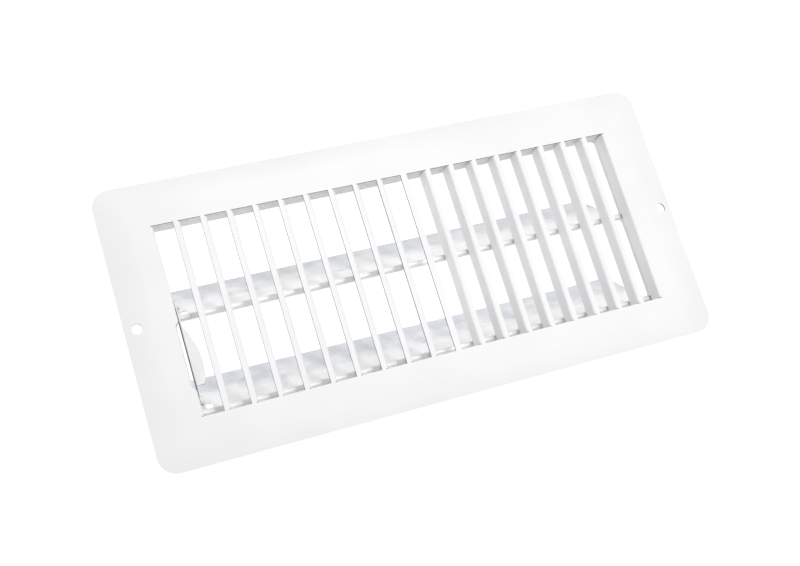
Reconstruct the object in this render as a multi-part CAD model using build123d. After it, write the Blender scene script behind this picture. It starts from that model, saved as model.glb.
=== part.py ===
from build123d import *
from math import acos, asin, cos, radians, sin
import os

# Floor register: a stamped louvred face plate with a two-blade damper under it.
# Millimetres. X runs along the plate, Y across it, Z up. The floor surface that
# the rim sits on is Z = 0, and the origin is in the middle of the plate.

# Face plate, one stamped sheet
end_border = 24.6
side_border = 21.65
corner_radius = 9.0
sheet = 0.8
face_height = 2.4
rim_height = 0.65
crown_width = 15.0
field_corner = 3.0
crown_steps = 4
screw_hole_diameter = 4.8
screw_hole_inset = 5.9

# Louvres: slots whose metal is bent down as a flap along one long edge
slot_count = 19
slots_thrown_left = 10
louvre_pitch = 12.63
bar_width = 3.2
slot_length = 91.3
flap_depth = 8.2
flap_bend = 0.3
flap_relief = 0.25

# Finger notch in the first slot's outer edge, beside the tab
notch_end_gap = 1.65
notch_depth = 2.0
notch_shift = -1.36
notch_flare = 45.0

# Damper frame, a folded collar with a flange spot-welded under the face
frame_sheet = 0.8
frame_end_gap = 1.35
frame_side_gap = 0.4
frame_corner = 1.6
flange_margin = 0.3
flange_bend = 0.4
side_wall_depth = 12.0
end_wall_depth = 13.0
pivot_ear_radius = 4.0

# Damper blades, hinged on a rolled bead along the near edge
blade_sheet = 0.6
bead_radius = 1.6
bead_slit = 0.3
hinge_drop = 10.4
hinge_inset = 2.8
open_angle = 57.0
blade_end_gap = 1.0
blade_gap = 0.9
blade_tip_gap = 0.7
pivot_clearance = 0.05
pivot_overhang = 0.9
window_width = 2.9
window_length = 5.4
window_from_end = 3.0
window_from_hinge = 6.5

# Link strip with a finger tab, riveted to a crank ear on each blade
link_sheet = 0.8
link_height = 3.2
link_end_radius = 2.2
link_lift = 0.3
link_bend = 0.3
link_side_gap = 0.9
ear_gap = 0.1
ear_foot_length = 6.8
ear_foot_inset = 2.2
tab_length = 29.4
tab_width = 5.4
tab_end_width = 4.0
tab_shift = -1.2
rivet_radius = 1.05
rivet_clearance = 0.05
rivet_seat_clearance = 0.02
rivet_head_radius = 1.9
rivet_head_height = 0.5

# Worked out from the sizes above
crown_drop = face_height - rim_height
crown_radius = (crown_width**2 + crown_drop**2) / (2 * crown_drop)
crown_centre = face_height - crown_radius
louvre_half = (slot_count * louvre_pitch - bar_width) / 2
slot_half = slot_length / 2
plate_length = 2 * (louvre_half + end_border)
plate_width = 2 * (slot_half + side_border)
face_under = face_height - sheet
flap_bottom = face_height - flap_depth

end_wall_inner = louvre_half + frame_end_gap
side_wall_inner = slot_half + frame_side_gap
flange_bottom = face_under - frame_sheet

hinge_z = face_height - hinge_drop
near_hinge_y = -slot_half + hinge_inset
blade_room = side_wall_inner - blade_tip_gap - near_hinge_y
blade_width = (blade_room - bead_radius - blade_gap) / 2
hinge_pitch = blade_width + bead_radius + blade_gap
far_hinge_y = near_hinge_y + hinge_pitch

link_left = -louvre_half + link_side_gap
link_right = link_left + link_sheet
blade_left = link_right + ear_gap
blade_right = end_wall_inner - blade_end_gap
pivot_reach = end_wall_inner + frame_sheet + pivot_overhang
crank = (bead_radius + link_lift + link_height / 2) / cos(radians(open_angle))
crank_y = crank * sin(radians(open_angle))
crank_z = crank * cos(radians(open_angle))
tab_centre = near_hinge_y + crank_y + hinge_pitch / 2 + tab_shift


def box(x0, x1, y0, y1, z0, z1):
    corner = (Align.MIN, Align.MIN, Align.MIN)
    return Pos(x0, y0, z0) * Box(x1 - x0, y1 - y0, z1 - z0, align=corner)


def plate_outline(inset):
    radius = corner_radius + (field_corner - corner_radius) * inset / crown_width
    return RectangleRounded(plate_length - 2 * inset, plate_width - 2 * inset, radius)


def crown(arc_radius, foot_angle):
    # A low pillow: the outline shrinks up an arc until it meets the flat field.
    sections = []
    for step in range(crown_steps + 1):
        angle = foot_angle * (1 - step / crown_steps)
        inset = crown_width - arc_radius * sin(angle)
        height = crown_centre + arc_radius * cos(angle)
        sections.append(Pos(0, 0, height) * plate_outline(inset))
    return loft(sections)


def louvre_bar(flap_side):
    # One bar between two slots: a flat strip, with a flap bent down on one side.
    strip = box(0, bar_width, -slot_half, slot_half, face_under, face_height)
    if flap_side == 0:
        return strip
    outer = flap_bend + sheet
    with BuildSketch(Plane.XZ) as section:
        with BuildLine():
            top = Line((0, face_height), (bar_width - outer, face_height))
            bend = TangentArc(top @ 1, (bar_width, face_height - outer), tangent=(1, 0))
            tip = Polyline(
                bend @ 1,
                (bar_width, flap_bottom),
                (bar_width - sheet, flap_bottom),
                (bar_width - sheet, face_under - flap_bend),
            )
            inside = TangentArc(tip @ 1, (bar_width - outer, face_under), tangent=(0, 1))
            Polyline(inside @ 1, (0, face_under), (0, face_height))
        make_face()
    bent = extrude(section.sketch, slot_half - flap_relief, both=True)
    flat_end = box(0, bar_width - outer, -slot_half, slot_half, face_under, face_height)
    bar = bent + flat_end
    if flap_side > 0:
        return bar
    return Pos(bar_width, 0, 0) * bar.mirror(Plane.YZ)


def finger_notch():
    with BuildSketch(Plane.XY.offset(face_under - flap_depth)) as outline:
        with Locations((-louvre_half, tab_centre + notch_shift)):
            Trapezoid(
                tab_length + 2 * notch_end_gap,
                notch_depth,
                notch_flare,
                rotation=90,
                align=(Align.CENTER, Align.MIN),
            )
    return extrude(outline.sketch, 2 * flap_depth)


def face_plate():
    foot_angle = asin(crown_width / crown_radius)
    under_radius = crown_radius - sheet
    under_angle = acos(-crown_centre / under_radius)
    plate = extrude(plate_outline(0), rim_height) + crown(crown_radius, foot_angle)
    plate -= crown(under_radius, under_angle)
    field = louvre_half + bar_width
    plate -= box(-field, field, -slot_half, slot_half, 0, 2 * face_height)
    for bar in range(slot_count + 1):
        side = 1 if bar < slots_thrown_left else -1 if bar > slots_thrown_left else 0
        plate += Pos(bar * louvre_pitch - field, 0, 0) * louvre_bar(side)
    plate -= finger_notch()
    hole_x = plate_length / 2 - screw_hole_inset
    for x in (-hole_x, hole_x):
        plate -= Pos(x, 0, 0) * Cylinder(screw_hole_diameter / 2, 4 * face_height)
    return plate


def frame_ring(half_x, half_y, radius, z0, z1):
    return Pos(0, 0, z0) * extrude(RectangleRounded(2 * half_x, 2 * half_y, radius), z1 - z0)


def damper_frame():
    end_outer = end_wall_inner + frame_sheet
    side_outer = side_wall_inner + frame_sheet
    side_bottom = face_height - side_wall_depth
    end_bottom = face_height - end_wall_depth
    outer_corner = frame_corner + frame_sheet
    frame = frame_ring(end_outer, side_outer, outer_corner, end_bottom, face_under)
    flange_x = plate_length / 2 - crown_width - flange_margin
    flange_y = plate_width / 2 - crown_width - flange_margin
    frame += frame_ring(flange_x, flange_y, outer_corner, flange_bottom, face_under)
    ear_reach = end_outer - frame_corner - frame_sheet
    frame -= box(-ear_reach, ear_reach, -plate_width, plate_width, end_bottom, side_bottom)
    for y in (near_hinge_y, far_hinge_y):
        ear = Rot(0, 90, 0) * Cylinder(pivot_ear_radius, 2 * end_outer)
        frame += Pos(0, y, hinge_z) * ear
    frame -= frame_ring(
        end_wall_inner, side_wall_inner, frame_corner, -2 * end_wall_depth, 2 * face_height
    )
    lip = frame.faces().filter_by(Axis.Z).sort_by(Axis.Z)[-1].inner_wires()[0].edges()
    frame = fillet(lip, flange_bend + frame_sheet)
    hole_radius = bead_radius + pivot_clearance
    for y in (near_hinge_y, far_hinge_y):
        frame -= Pos(0, y, hinge_z) * Rot(0, 90, 0) * Cylinder(hole_radius, 3 * end_outer)
    return frame


def bead_section(with_leaf):
    # The blade's near edge curls round into a bead, which stops short of the leaf.
    inner = bead_radius - blade_sheet
    end = asin((bead_slit - inner) / bead_radius)
    tip = (cos(end), sin(end))
    with BuildSketch(Plane.YZ) as section:
        with BuildLine():
            back = ThreePointArc((0, -bead_radius), (-bead_radius, 0), (0, bead_radius))
            RadiusArc(back @ 1, (tip[0] * bead_radius, tip[1] * bead_radius), bead_radius)
            Line((tip[0] * bead_radius, tip[1] * bead_radius), (tip[0] * inner, tip[1] * inner))
            RadiusArc((tip[0] * inner, tip[1] * inner), (0, inner), -inner)
            ThreePointArc((0, inner), (-inner, 0), (0, -inner))
            if with_leaf:
                Polyline(
                    (0, -inner),
                    (blade_width, -inner),
                    (blade_width, -bead_radius),
                    (0, -bead_radius),
                )
            else:
                Line((0, -inner), (0, -bead_radius))
        make_face()
    return section.sketch


def crank_ear():
    # Bent up square from the end of the leaf, and drilled for the link's rivet.
    foot_top = blade_sheet - bead_radius
    with BuildSketch(Plane.YZ.offset(blade_left)) as outline:
        with Locations((0, crank)):
            Circle(link_end_radius)
        with Locations((ear_foot_inset + ear_foot_length / 2, foot_top - blade_sheet / 2)):
            Rectangle(ear_foot_length, blade_sheet)
        make_hull()
        with Locations((0, crank)):
            Circle(rivet_radius + rivet_clearance, mode=Mode.SUBTRACT)
    return extrude(outline.sketch, blade_sheet)


def damper_blade(hinge_y):
    leaf = Pos(blade_left, 0, 0) * extrude(bead_section(True), blade_right - blade_left)
    for x0, x1 in ((-pivot_reach, blade_left), (blade_right, pivot_reach)):
        leaf += Pos(x0, 0, 0) * extrude(bead_section(False), x1 - x0)
    leaf += crank_ear()
    window_x = blade_left + window_from_end
    leaf -= box(
        window_x,
        window_x + window_width,
        window_from_hinge,
        window_from_hinge + window_length,
        -2 * bead_radius,
        0,
    )
    return Pos(0, hinge_y, hinge_z) * Rot(-open_angle, 0, 0) * leaf


def link_pivot(hinge_y):
    return Vector(0, hinge_y + crank_y, hinge_z + crank_z)


def finger_tab():
    # A half-moon bent over from the strip's top edge.
    far_end = tab_length / 2
    with BuildSketch() as outline:
        with BuildLine():
            edge = ThreePointArc((0, far_end), (tab_width, 0), (tab_end_width, -far_end))
            Polyline(edge @ 1, (0, -far_end), (0, far_end))
        make_face()
    return extrude(outline.sketch, -link_sheet)


def damper_link():
    near, far = link_pivot(near_hinge_y), link_pivot(far_hinge_y)
    middle = (near + far) / 2
    strip = Rectangle(hinge_pitch, link_height)
    for end in (-hinge_pitch / 2, hinge_pitch / 2):
        strip += Pos(end, 0) * Circle(link_end_radius)
    for end in (-hinge_pitch / 2, hinge_pitch / 2):
        strip -= Pos(end, 0) * Circle(rivet_radius + rivet_seat_clearance)
    web = extrude(Plane.YZ * strip, link_sheet)
    link = web + Pos(0, tab_shift, link_height / 2) * finger_tab()
    top = link.edges().filter_by(Axis.Y).group_by(Axis.Z)[-1].sort_by(Axis.X)[0]
    link = fillet(top, link_bend + link_sheet / 2)
    return Pos(link_left, middle.Y, middle.Z) * link


def link_rivet(hinge_y):
    far_head = blade_left + blade_sheet + rivet_clearance
    with BuildSketch(Plane.XZ) as half:
        with BuildLine():
            Polyline(
                (link_left - rivet_head_height, 0),
                (far_head + rivet_head_height, 0),
                (far_head + rivet_head_height, rivet_head_radius - rivet_head_height / 2),
                (far_head + rivet_head_height / 2, rivet_head_radius),
                (far_head, rivet_head_radius),
                (far_head, rivet_radius),
                (link_left, rivet_radius),
                (link_left, rivet_head_radius),
                (link_left - rivet_head_height / 2, rivet_head_radius),
                (link_left - rivet_head_height, rivet_head_radius - rivet_head_height / 2),
                close=True,
            )
        make_face()
    rivet = revolve(half.sketch, Axis.X)
    spot = link_pivot(hinge_y)
    return Pos(0, spot.Y, spot.Z) * rivet


def link_rivets():
    return Compound([link_rivet(near_hinge_y), link_rivet(far_hinge_y)])


nodes = {
    "face_plate": face_plate(),
    "damper_frame": damper_frame(),
    "near_blade": damper_blade(near_hinge_y),
    "far_blade": damper_blade(far_hinge_y),
    "damper_link": damper_link(),
    "link_rivets": link_rivets(),
}

os.makedirs("parts", exist_ok=True)
for name, shape in nodes.items():
    export_step(shape, f"parts/{name}.step")
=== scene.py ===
# %% [markdown]
# A floor register, dressed for its picture
#
# A floor register is the grille over a warm-air duct. It is stamped from white enamelled sheet steel, and two
# zinc-coated blades hang under it as a damper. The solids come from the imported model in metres, and this lesson
# gives them their soft pressed edges, their finish, their light and their camera.

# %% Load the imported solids
import bpy
import bmesh
from math import asin, cos, pi, radians, sin
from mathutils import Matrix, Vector


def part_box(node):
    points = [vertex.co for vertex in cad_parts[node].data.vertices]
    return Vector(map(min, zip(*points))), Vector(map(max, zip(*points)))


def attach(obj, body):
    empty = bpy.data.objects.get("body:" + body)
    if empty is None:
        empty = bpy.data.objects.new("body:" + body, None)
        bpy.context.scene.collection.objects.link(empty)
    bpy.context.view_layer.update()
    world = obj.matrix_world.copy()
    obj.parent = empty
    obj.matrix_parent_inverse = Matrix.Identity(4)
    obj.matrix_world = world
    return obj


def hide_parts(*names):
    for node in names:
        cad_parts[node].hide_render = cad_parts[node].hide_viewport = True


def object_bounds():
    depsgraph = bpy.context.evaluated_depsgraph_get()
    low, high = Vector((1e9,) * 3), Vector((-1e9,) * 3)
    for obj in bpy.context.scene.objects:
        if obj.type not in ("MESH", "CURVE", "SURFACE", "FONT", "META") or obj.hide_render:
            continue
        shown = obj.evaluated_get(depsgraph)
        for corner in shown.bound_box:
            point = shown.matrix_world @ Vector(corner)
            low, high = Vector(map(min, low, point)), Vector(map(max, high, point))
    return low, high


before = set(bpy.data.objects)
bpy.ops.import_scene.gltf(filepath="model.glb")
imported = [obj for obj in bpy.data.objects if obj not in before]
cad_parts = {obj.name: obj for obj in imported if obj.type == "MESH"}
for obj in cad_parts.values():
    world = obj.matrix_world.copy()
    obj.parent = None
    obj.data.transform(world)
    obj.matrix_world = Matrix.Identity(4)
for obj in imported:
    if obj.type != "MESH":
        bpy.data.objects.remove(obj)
cad_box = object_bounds()
print("Solids:", ", ".join(sorted(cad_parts)))

# %% [markdown]
# Lengths are easier to follow in millimetres, so one small factor turns them into Blender's metres. Colours are
# written as the hex values that a paint chart gives, and one function turns them into the linear light values
# that a shader works with. The numbers in it are those of the sRGB curve.

# %% Units and colours
MM = 0.001


def paint(hex_code):
    shares = [int(hex_code[start:start + 2], 16) / 255 for start in (0, 2, 4)]
    linear = [share / 12.92 if share <= 0.04045 else ((share + 0.055) / 1.055) ** 2.4 for share in shares]
    return (*linear, 1.0)


print("White enamel in linear light:", [round(share, 3) for share in paint("F9F8F9")[:3]])

# %% [markdown]
# The camera stands to the left of the register and a little in front of it, high above, so the picture looks
# down on the grille with the far right corner turned away. Its place and turn were worked out from the plate's
# corners, and the frame is 800 by 566.

# %% Set up the camera
camera_place = (-199.78 * MM, -126.44 * MM, 541.6 * MM)
camera_turn = (16.976, -14.846, -17.566)
lens_length = 54.95
sensor_width = 36

bpy.ops.object.select_all(action="DESELECT")
bpy.ops.object.camera_add(location=camera_place, rotation=[radians(turn) for turn in camera_turn])
camera = bpy.context.object
camera.data.sensor_width = sensor_width
camera.data.sensor_fit = "HORIZONTAL"
camera.data.lens = lens_length
bpy.context.scene.camera = camera
print("Camera at", tuple(round(value, 3) for value in camera.location))

# %% [markdown]
# The face plate is one pressed sheet. Its border is a low pillow: an outline with rounded corners that shrinks as
# it climbs an arc, until it meets the flat field. A subdivided box would wrinkle at the corners, so the outline
# is laid down as nine flat rings, each a plane with its corners bevelled, and the rings are bridged into a skin.

# %% Sizes of the pressed face
plate_low, plate_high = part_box("face_plate")
plate_length = (plate_high.x - plate_low.x) / MM
plate_width = (plate_high.y - plate_low.y) / MM
face_height = plate_high.z / MM
rim_height = 0.65
crown_width = 15.0
rim_corner = 9.0
field_corner = 3.0
sheet = 0.8

crown_drop = face_height - rim_height
crown_radius = (crown_width**2 + crown_drop**2) / (2 * crown_drop)
foot_angle = asin(crown_width / crown_radius)
print("Face", round(plate_length, 2), "by", round(plate_width, 2), "mm")
print("Crown radius", round(crown_radius, 1), "mm")

# %% [markdown]
# Faces, edges and corners are picked by their place, so one helper does it for all the steps: it asks a question
# of the middle of each part, in millimetres, and selects the parts that pass.


# %% Pick parts by their place
def choose(kind, passes):
    bpy.ops.mesh.select_mode(type=kind)
    bpy.ops.mesh.select_all(action="DESELECT")
    mesh = bmesh.from_edit_mesh(bpy.context.object.data)
    picked = 0
    for part in {"VERT": mesh.verts, "EDGE": mesh.edges, "FACE": mesh.faces}[kind]:
        corners = [part.co] if kind == "VERT" else [corner.co for corner in part.verts]
        if passes(sum(corners, Vector()) / len(corners) / MM):
            part.select_set(True)
            picked += 1
    mesh.select_flush_mode()
    bmesh.update_edit_mesh(bpy.context.object.data)
    return picked


# %% [markdown]
# A piece is started from an emptied plane, so that its object sits at the origin and all its shape is in its mesh.
# The rings are added from the rim up. Each is lifted and drawn in along the crown's arc, and each pair of
# neighbours is bridged, which gives clean quads that follow the rounded corners. One face closes the top. Two
# heights count as the same when they are as near as a thousandth of a millimetre.

# %% Lay the rings of the crown and bridge them
crown_steps = 8
corner_steps = 8
near = 0.001


def start_piece(name):
    bpy.ops.object.select_all(action="DESELECT")
    bpy.ops.mesh.primitive_plane_add(size=MM)
    piece = bpy.context.object
    piece.name = name
    bpy.ops.object.mode_set(mode="EDIT")
    bpy.ops.mesh.delete(type="VERT")
    return piece


plate = start_piece("pressed_face")
ring_heights = []
for step in range(crown_steps + 1):
    angle = foot_angle * (1 - step / crown_steps)
    inset = crown_width - crown_radius * sin(angle)
    height = face_height - crown_radius * (1 - cos(angle))
    corner = rim_corner + (field_corner - rim_corner) * inset / crown_width
    middle = (0, 0, height * MM)
    spread = (plate_length - 2 * inset, plate_width - 2 * inset, 1)
    bpy.ops.mesh.primitive_plane_add(size=MM, location=middle)
    bpy.ops.transform.resize(value=spread, center_override=middle)
    bpy.ops.mesh.bevel(offset=corner * MM, segments=corner_steps, affect="VERTICES")
    bpy.ops.mesh.delete(type="ONLY_FACE")
    ring_heights.append(height)

for low, high in zip(ring_heights, ring_heights[1:]):
    choose("EDGE", lambda spot: min(abs(spot.z - low), abs(spot.z - high)) < near)
    bpy.ops.mesh.bridge_edge_loops()
choose("EDGE", lambda spot: abs(spot.z - face_height) < near)
bpy.ops.mesh.edge_face_add()
print("Crown faces:", len(bmesh.from_edit_mesh(plate.data).faces))

# %% [markdown]
# The louvres are lanced: a slot is sheared on three sides, and its metal is bent down as a flap along the fourth.
# The first ten flaps hang from the left edges of their slots and the other nine from the right edges, so the air
# is thrown both ways. The flat field is bisected along the edges of the slots, which keeps it in clean strips, and
# the slots are deleted. Two more cuts leave a small relief at both ends of each flap.

# %% Cut the slots
slot_count = 19
slots_thrown_left = 10
louvre_pitch = 12.63
bar_width = 3.2
slot_half = 45.65
bend = 1.1
flap_relief = 0.25
louvre_half = (slot_count * louvre_pitch - bar_width) / 2

slots = []
for number in range(slot_count):
    left = number * louvre_pitch - louvre_half
    right = left + louvre_pitch - bar_width
    slots.append((left - bend, right) if number < slots_thrown_left else (left, right + bend))


def cut_field(reach, co, no):
    choose("FACE", lambda spot: abs(spot.z - face_height) < near and abs(spot.y) < reach)
    bpy.ops.mesh.bisect(plane_co=[value * MM for value in co], plane_no=no)


for side in (-1, 1):
    cut_field(plate_width, (0, side * slot_half, 0), (0, 1, 0))
for edges in slots:
    for edge in edges:
        cut_field(slot_half, (edge, 0, 0), (1, 0, 0))
removed = choose(
    "FACE",
    lambda spot: abs(spot.z - face_height) < near
    and abs(spot.y) < slot_half
    and any(left < spot.x < right for left, right in slots),
)
bpy.ops.mesh.delete(type="FACE")
for side in (-1, 1):
    cut_field(slot_half, (0, side * (slot_half - flap_relief), 0), (0, 1, 0))
print("Slots cut:", removed)

# %% [markdown]
# On the press a punch pushes each flap round a small radius. Here the edges where the flaps begin are extruded
# round that bend, a little at a time, and then straight down. The flaps of one half all bend the same way, so each
# half is made in one go.

# %% Bend the flaps down
bend_steps = 6
flap_depth = 8.2

for side, edges in (
    (1, [left for left, right in slots[:slots_thrown_left]]),
    (-1, [right for left, right in slots[slots_thrown_left:]]),
):
    picked = choose(
        "EDGE",
        lambda spot: abs(spot.z - face_height) < near
        and abs(spot.y) < slot_half - 2 * flap_relief
        and any(abs(spot.x - edge) < near for edge in edges),
    )
    for step in range(bend_steps):
        before, after = step * pi / 2 / bend_steps, (step + 1) * pi / 2 / bend_steps
        move = (side * bend * (sin(after) - sin(before)) * MM, 0, bend * (cos(after) - cos(before)) * MM)
        bpy.ops.mesh.extrude_edges_move(TRANSFORM_OT_translate={"value": move})
    drop = (0, 0, (bend - flap_depth) * MM)
    bpy.ops.mesh.extrude_edges_move(TRANSFORM_OT_translate={"value": drop})
    print("Flaps bent:", picked)

# %% [markdown]
# So far the face is a skin. The corners that its parts share are merged, and its normals are made to point up, so
# that it can be thickened downwards.

# %% Merge the skin and turn it up
bpy.ops.mesh.select_all(action="SELECT")
bpy.ops.mesh.remove_doubles(threshold=near * MM)
bpy.ops.mesh.normals_make_consistent(inside=False)
mesh = bmesh.from_edit_mesh(plate.data)
if max(mesh.faces, key=lambda face: face.calc_area()).normal.z < 0:
    bpy.ops.mesh.flip_normals()
bpy.ops.object.mode_set(mode="OBJECT")
print("Skin faces:", len(plate.data.polygons))

# %% [markdown]
# Solidify gives the skin the thickness of the sheet downwards, so the outside keeps its size. It also marks the cut
# edges of the sheet with a second finish, which the slots keep and the rim gives back. The rim's lower edge is then
# set flat on the floor.

# %% Thicken the sheet
finish_slots = 2


def apply_modifier(piece, kind, **settings):
    bpy.context.view_layer.objects.active = piece
    modifier = piece.modifiers.new(kind.lower(), kind)
    for name, value in settings.items():
        setattr(modifier, name, value)
    bpy.ops.object.modifier_apply(modifier=modifier.name)


def on_border(spot):
    return abs(spot.x) > louvre_half + bar_width or abs(spot.y) > slot_half + bar_width


def add_finish_slots(piece, count):
    while len(piece.data.materials) < count:
        piece.data.materials.append(None)


add_finish_slots(plate, finish_slots)
apply_modifier(
    plate, "SOLIDIFY",
    thickness=sheet * MM, offset=-1, use_even_offset=True, material_offset_rim=1,
)
bpy.ops.object.mode_set(mode="EDIT")
rim_verts = choose("VERT", lambda spot: spot.z < near and on_border(spot))
bpy.ops.transform.resize(value=(1, 1, 0), center_override=(0, 0, 0))
bpy.ops.object.mode_set(mode="OBJECT")
for face in plate.data.polygons:
    if on_border(face.center / MM):
        face.material_index = 0
print("Sheet faces:", len(plate.data.polygons), "with", rim_verts, "corners on the floor")

# %% [markdown]
# Two screws hold the register to the floor, one at the middle of each end. Their holes are punched, so a round
# punch is stood at each place.

# %% Stand the punches of the screw holes
hole_inset = 5.9
hole_radius = 2.4
hole_sides = 48
punch_length = 4 * face_height

punches = []
for side in (-1, 1):
    bpy.ops.object.select_all(action="DESELECT")
    bpy.ops.mesh.primitive_cylinder_add(
        vertices=hole_sides, radius=hole_radius * MM, depth=punch_length * MM,
        location=(side * (plate_length / 2 - hole_inset) * MM, 0, 0),
    )
    punches.append(bpy.context.object)
print("Round punches:", len(punches))

# %% [markdown]
# The first slot is widened by a notch, so that a finger can reach the damper's tab. Its punch is drawn as a
# rectangle over the slot's edge. It is made narrower on the side away from the slot and wider on the other side,
# and is extruded through the sheet.

# %% Stand the punch of the finger notch
notch_middle = -17.35
notch_length = 32.7
notch_depth = 2.0

notch = start_piece("notch_punch")
notch_foot = (-louvre_half * MM, notch_middle * MM, -flap_depth * MM)
bpy.ops.mesh.primitive_plane_add(size=MM, location=notch_foot)
bpy.ops.transform.resize(value=(2 * notch_depth, notch_length, 1), center_override=notch_foot)
for side in (-1, 1):
    choose("VERT", lambda spot: side * (spot.x + louvre_half) > 0)
    flare = 1 + side * 2 * notch_depth / notch_length
    bpy.ops.transform.resize(value=(1, flare, 1), center_override=notch_foot)
bpy.ops.mesh.select_all(action="SELECT")
bpy.ops.mesh.extrude_region_move(TRANSFORM_OT_translate={"value": (0, 0, 2 * flap_depth * MM)})
bpy.ops.mesh.select_all(action="SELECT")
bpy.ops.mesh.normals_make_consistent(inside=False)
bpy.ops.object.mode_set(mode="OBJECT")
punches.append(notch)
print("Notch punch:", len(notch.data.polygons), "faces")

# %% [markdown]
# Each punch is taken away from the sheet with a Boolean. The punches wear the second finish, a dark painted shade,
# and they leave it on the walls that they cut, as a real punch leaves a sheared edge.

# %% Punch the sheet
for punch in punches:
    add_finish_slots(punch, finish_slots)
    for face in punch.data.polygons:
        face.material_index = 1
    apply_modifier(plate, "BOOLEAN", operation="DIFFERENCE", solver="EXACT", object=punch)
bpy.ops.object.select_all(action="DESELECT")
for punch in punches:
    punch.select_set(True)
bpy.ops.object.delete()
print("Sheet faces after punching:", len(plate.data.polygons))

# %% [markdown]
# No pressed edge is razor sharp, so a fine bevel breaks all the sheared edges. Smooth shading runs over the crown
# and round the bends, and weighted normals keep the large flat parts flat.

# %% Break the edges and smooth the bends
edge_break = 0.1
edge_steps = 2
smooth_limit = radians(35)


def soften(piece):
    bpy.ops.object.select_all(action="DESELECT")
    piece.select_set(True)
    bpy.context.view_layer.objects.active = piece
    bpy.ops.object.shade_smooth_by_angle(angle=smooth_limit)
    apply_modifier(piece, "WEIGHTED_NORMAL", keep_sharp=True)


apply_modifier(
    plate, "BEVEL",
    width=edge_break * MM, segments=edge_steps, limit_method="ANGLE", angle_limit=smooth_limit,
)
soften(plate)
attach(plate, "register")
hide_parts("face_plate")
print("Face plate:", len(plate.data.polygons), "faces")

# %% [markdown]
# The other pieces are already the right shape, but their solids arrive as loose triangles, which would show facets
# on the rolled beads and the folded corners. A copy of each is merged and smoothed, and stands for its solid. The
# upright sides of the link are marked with the second finish, a dark painted shade for the sides that stand in
# shade.

# %% Smooth copies of the collar, the blades, the link and the rivets
weld = 0.002
upright = 0.5


def smooth_copy(node, name, body):
    piece = bpy.data.objects.new(name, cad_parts[node].data.copy())
    bpy.context.scene.collection.objects.link(piece)
    bpy.ops.object.select_all(action="DESELECT")
    piece.select_set(True)
    bpy.context.view_layer.objects.active = piece
    bpy.ops.object.mode_set(mode="EDIT")
    bpy.ops.mesh.select_all(action="SELECT")
    bpy.ops.mesh.remove_doubles(threshold=weld * MM)
    bpy.ops.object.mode_set(mode="OBJECT")
    soften(piece)
    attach(piece, body)
    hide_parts(node)
    print(name, "has", len(piece.data.polygons), "faces")
    return piece


collar = smooth_copy("damper_frame", "folded_collar", "register")
link = smooth_copy("damper_link", "link_and_tab", "link")
# The upright sides of the link take the second finish, the dark painted shade.
for face in link.data.polygons:
    face.material_index = int(abs(face.normal.z) < upright)
rivets = smooth_copy("link_rivets", "link_pins", "link")
near_leaf = smooth_copy("near_blade", "near_leaf", "near_blade")
far_leaf = smooth_copy("far_blade", "far_leaf", "far_blade")

# %% [markdown]
# A material is a small network of nodes, so one function adds a node, sets its values and links its inputs.


# %% Add a node with its settings and links
def add_node(tree, kind, settings, links):
    node = tree.nodes.new(kind)
    for name, value in settings.items():
        if name in node.inputs:
            node.inputs[name].default_value = value
        else:
            setattr(node, name, value)
    for name, source in links.items():
        tree.links.new(source, node.inputs[name])
    return node


def new_material(name):
    material = bpy.data.materials.new(name)
    material.use_nodes = True
    return material, material.node_tree, material.node_tree.nodes["Principled BSDF"]


# %% [markdown]
# White baked enamel is a thin hard paint, sprayed on and baked. It gives the eye an even clean white, a soft gloss
# and a faint orange peel. The peel is about a millimetre and a half across, and a slow change of tone over a few
# centimetres keeps the large border from looking flat.

# %% White baked enamel
peel_size = 1.5
peel_height = 0.05
peel_strength = 0.12
tone_size = 45.0
tone_from, tone_to = 0.35, 0.65
gloss_low, gloss_high = 0.36, 0.46
enamel_ior = 1.5

enamel, tree, shader = new_material("white_baked_enamel")
spot = add_node(tree, "ShaderNodeTexCoord", {}, {}).outputs["Object"]
peel = add_node(tree, "ShaderNodeTexNoise", {"Scale": 1 / (peel_size * MM), "Detail": 2.0}, {"Vector": spot})
tone = add_node(tree, "ShaderNodeTexNoise", {"Scale": 1 / (tone_size * MM), "Detail": 3.0}, {"Vector": spot})
white = add_node(tree, "ShaderNodeValToRGB", {}, {"Fac": tone.outputs["Fac"]})
darker, lighter = white.color_ramp.elements
darker.position, lighter.position = tone_from, tone_to
darker.color, lighter.color = paint("F5F4F5"), paint("F9F8F9")
gloss = add_node(
    tree, "ShaderNodeMapRange", {"To Min": gloss_low, "To Max": gloss_high}, {"Value": peel.outputs["Fac"]},
)
bump = add_node(
    tree, "ShaderNodeBump", {"Strength": peel_strength, "Distance": peel_height * MM},
    {"Height": peel.outputs["Fac"]},
)
tree.links.new(white.outputs["Color"], shader.inputs["Base Color"])
tree.links.new(gloss.outputs["Result"], shader.inputs["Roughness"])
tree.links.new(bump.outputs["Normal"], shader.inputs["Normal"])
shader.inputs["IOR"].default_value = enamel_ior
print("Made", enamel.name)

# %% [markdown]
# The sheared edges of the slots and the upright sides of the link are painted dark grey. This is painted shade that
# gives them the thin dark line of edges in shade. The collar under the face wears a greyer and duller copy of the
# enamel, which is painted shade for the recess under the face. Both are uneven over about half a centimetre, in
# tone and in dullness.

# %% Painted shade on the sheared edges and inside the collar
patch_size = 5.0
patch_from, patch_to = 0.3, 0.7


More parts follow.
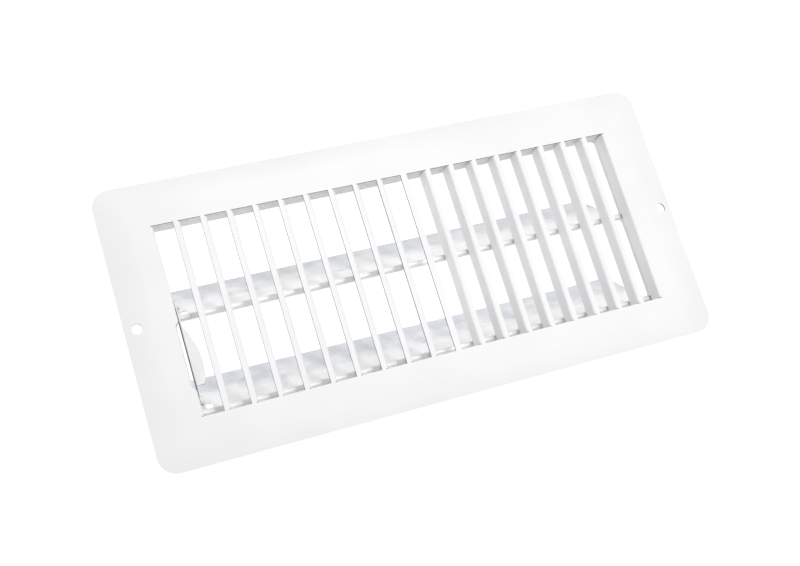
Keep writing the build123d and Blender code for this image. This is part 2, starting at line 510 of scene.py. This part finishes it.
def painted_shade_enamel(name, dark, light, dull_low, dull_high):
    painted_shade_coat, tree, shader = new_material(name)
    spot = add_node(tree, "ShaderNodeTexCoord", {}, {}).outputs["Object"]
    patch = add_node(
        tree, "ShaderNodeTexNoise", {"Scale": 1 / (patch_size * MM), "Detail": 4.0}, {"Vector": spot},
    )
    grey = add_node(tree, "ShaderNodeValToRGB", {}, {"Fac": patch.outputs["Fac"]})
    darker, lighter = grey.color_ramp.elements
    darker.position, lighter.position = patch_from, patch_to
    darker.color, lighter.color = paint(dark), paint(light)
    dull = add_node(
        tree, "ShaderNodeMapRange", {"To Min": dull_low, "To Max": dull_high}, {"Value": patch.outputs["Fac"]},
    )
    tree.links.new(grey.outputs["Color"], shader.inputs["Base Color"])
    tree.links.new(dull.outputs["Result"], shader.inputs["Roughness"])
    shader.inputs["IOR"].default_value = enamel_ior
    return painted_shade_coat


# Dark grey for the sheared edges and the link's upright sides: painted shade.
edge_painted_shade = painted_shade_enamel("sheared_edge_painted_shade", "3E3E3D", "5C5C5A", 0.45, 0.6)
# A greyer copy of the enamel for the collar: painted shade for the recess under the face.
collar_painted_shade = painted_shade_enamel("collar_enamel_painted_shade", "E6E6E4", "F2F2F0", 0.5, 0.65)
print("Made", edge_painted_shade.name, "and", collar_painted_shade.name)

# %% [markdown]
# Galvanised sheet is steel dipped in zinc. As the zinc sets it grows flat crystals, the spangle, so the eye sees
# patches about seven millimetres across that differ a little in brightness. A Voronoi pattern has the same cells,
# and each cell's own random value becomes its brightness.

# %% Zinc-coated sheet: the spangle
spangle_size = 7.0
crystal_low, crystal_high = 0.93, 1.0

zinc, tree, shader = new_material("galvanised_sheet_and_painted_shade")
spot = add_node(tree, "ShaderNodeTexCoord", {}, {}).outputs["Object"]
spangle = add_node(tree, "ShaderNodeTexVoronoi", {"Scale": 1 / (spangle_size * MM)}, {"Vector": spot})
grain = add_node(tree, "ShaderNodeSeparateColor", {}, {"Color": spangle.outputs["Color"]})
crystal = add_node(
    tree, "ShaderNodeMapRange", {"To Min": crystal_low, "To Max": crystal_high}, {"Value": grain.outputs["Red"]},
)
print("Spangle of", spangle_size, "mm")

# %% [markdown]
# Towards the lower edge of the leaf, deep under the face, the zinc is painted darker and bluer: painted shade.
# The border of that shaded part wanders up and down, so a slow noise sets the height where the colour starts to
# brighten, and the same noise varies the roughness. The coat still shows much of its own pale colour, so it is only
# partly metallic.

# %% Zinc-coated sheet: painted shade towards the lower edge
shade_border_and_gloss_size = 14.0
shade_border_from, shade_border_to = 0.3, 0.7
shade_border_low, shade_border_high, painted_shade_top = -47.0, -25.0, -22.0
rough_low, rough_high = 0.38, 0.58
zinc_metallic = 0.3

shade_border_and_gloss_noise = add_node(tree, "ShaderNodeTexNoise", {"Scale": 1 / (shade_border_and_gloss_size * MM), "Detail": 2.0}, {"Vector": spot})
painted_shade_border = add_node(
    tree, "ShaderNodeMapRange",
    {"From Min": shade_border_from, "From Max": shade_border_to, "To Min": shade_border_low * MM, "To Max": shade_border_high * MM},
    {"Value": shade_border_and_gloss_noise.outputs["Fac"]},
)
level = add_node(tree, "ShaderNodeSeparateXYZ", {}, {"Vector": spot})
painted_shade_fade = add_node(
    tree, "ShaderNodeMapRange", {"From Max": painted_shade_top * MM},
    {"Value": level.outputs["Z"], "From Min": painted_shade_border.outputs["Result"]},
)
# The ramp runs from painted shade, darker and bluer, at the lower edge to the zinc's own pale colour higher up.
painted_shade_coat = add_node(tree, "ShaderNodeValToRGB", {}, {"Fac": painted_shade_fade.outputs["Result"]})
shaded_zinc, lit_zinc = painted_shade_coat.color_ramp.elements
shaded_zinc.color, lit_zinc.color = paint("DDE0E5"), paint("FDFDFD")
metal = add_node(
    tree, "ShaderNodeVectorMath", {"operation": "SCALE"},
    {"Vector": painted_shade_coat.outputs["Color"], "Scale": crystal.outputs["Result"]},
)
rough = add_node(
    tree, "ShaderNodeMapRange", {"To Min": rough_low, "To Max": rough_high}, {"Value": shade_border_and_gloss_noise.outputs["Fac"]},
)
tree.links.new(metal.outputs["Vector"], shader.inputs["Base Color"])
tree.links.new(rough.outputs["Result"], shader.inputs["Roughness"])
shader.inputs["Metallic"].default_value = zinc_metallic
print("Made", zinc.name)

# %% [markdown]
# Each piece now gets its finishes in order. The first one covers it, and the second one, a dark painted shade, is
# for the faces that were marked as sheared edges or upright sides.

# %% Put the finishes on
for piece, finishes in (
    (plate, (enamel, edge_painted_shade)),
    (collar, (collar_painted_shade,)),
    (link, (enamel, edge_painted_shade)),
    (rivets, (zinc,)),
    (near_leaf, (zinc,)),
    (far_leaf, (zinc,)),
):
    add_finish_slots(piece, len(finishes))
    for number, finish in enumerate(finishes):
        piece.data.materials[number] = finish
    print(piece.name, "wears", ", ".join(finish.name for finish in finishes))

# %% [markdown]
# The stage is a plain white table that glows evenly, as a light table does. White light then comes up through the
# slots, and the register throws no shadow on it.

# %% Lay the floor
floor_gap = 0.3
floor_size = 12.0
floor_roughness = 0.9
floor_glow = 1.1

bpy.ops.object.select_all(action="DESELECT")
bpy.ops.mesh.primitive_plane_add(size=floor_size, location=(0, 0, cad_box[0][2] - floor_gap * MM))
floor = bpy.context.object
floor.name = "floor"
floor_white, tree, shader = new_material("white_light_table")
shader.inputs["Base Color"].default_value = paint("303030")
shader.inputs["Roughness"].default_value = floor_roughness
shader.inputs["Emission Color"].default_value = paint("FFFFFF")
shader.inputs["Emission Strength"].default_value = floor_glow
floor.data.materials.append(floor_white)
print("Floor at", round(floor.location.z / MM, 2), "mm")

# %% [markdown]
# The room gives an even white light. A large softbox hangs where the flat of the face mirrors it, so the flat
# shines a little more than the border that turns away. A small key light on the far side throws the soft shadows
# of the bars on the blades, and a weak fill from the left lightens the flaps. All of them aim at the middle of the
# register. Places and sizes are in metres and the power is in watts.

# %% Hang the lights
room_light = 0.53

world = bpy.data.worlds.new("studio")
world.use_nodes = True
world.node_tree.nodes["Background"].inputs["Color"].default_value = paint("FFFFFF")
world.node_tree.nodes["Background"].inputs["Strength"].default_value = room_light
bpy.context.scene.world = world
bpy.context.scene.view_settings.view_transform = "Standard"


def hang_light(name, place, width, depth, power):
    aim = (-Vector(place)).to_track_quat("-Z", "Y").to_euler()
    bpy.ops.object.light_add(type="AREA", location=place, rotation=aim)
    light = bpy.context.object
    light.name = name
    light.data.shape = "RECTANGLE"
    light.data.size, light.data.size_y = width, depth
    light.data.energy = power
    print(name, "of", power, "W at", place)


hang_light("softbox", place=(0.5, 0.02, 1.14), width=1.15, depth=0.7, power=5.5)
hang_light("key_light", place=(0.22, 0.55, 1.07), width=0.14, depth=0.14, power=2.4)
hang_light("side_fill", place=(-1.1, 0.0, 0.55), width=0.8, depth=0.8, power=1.6)
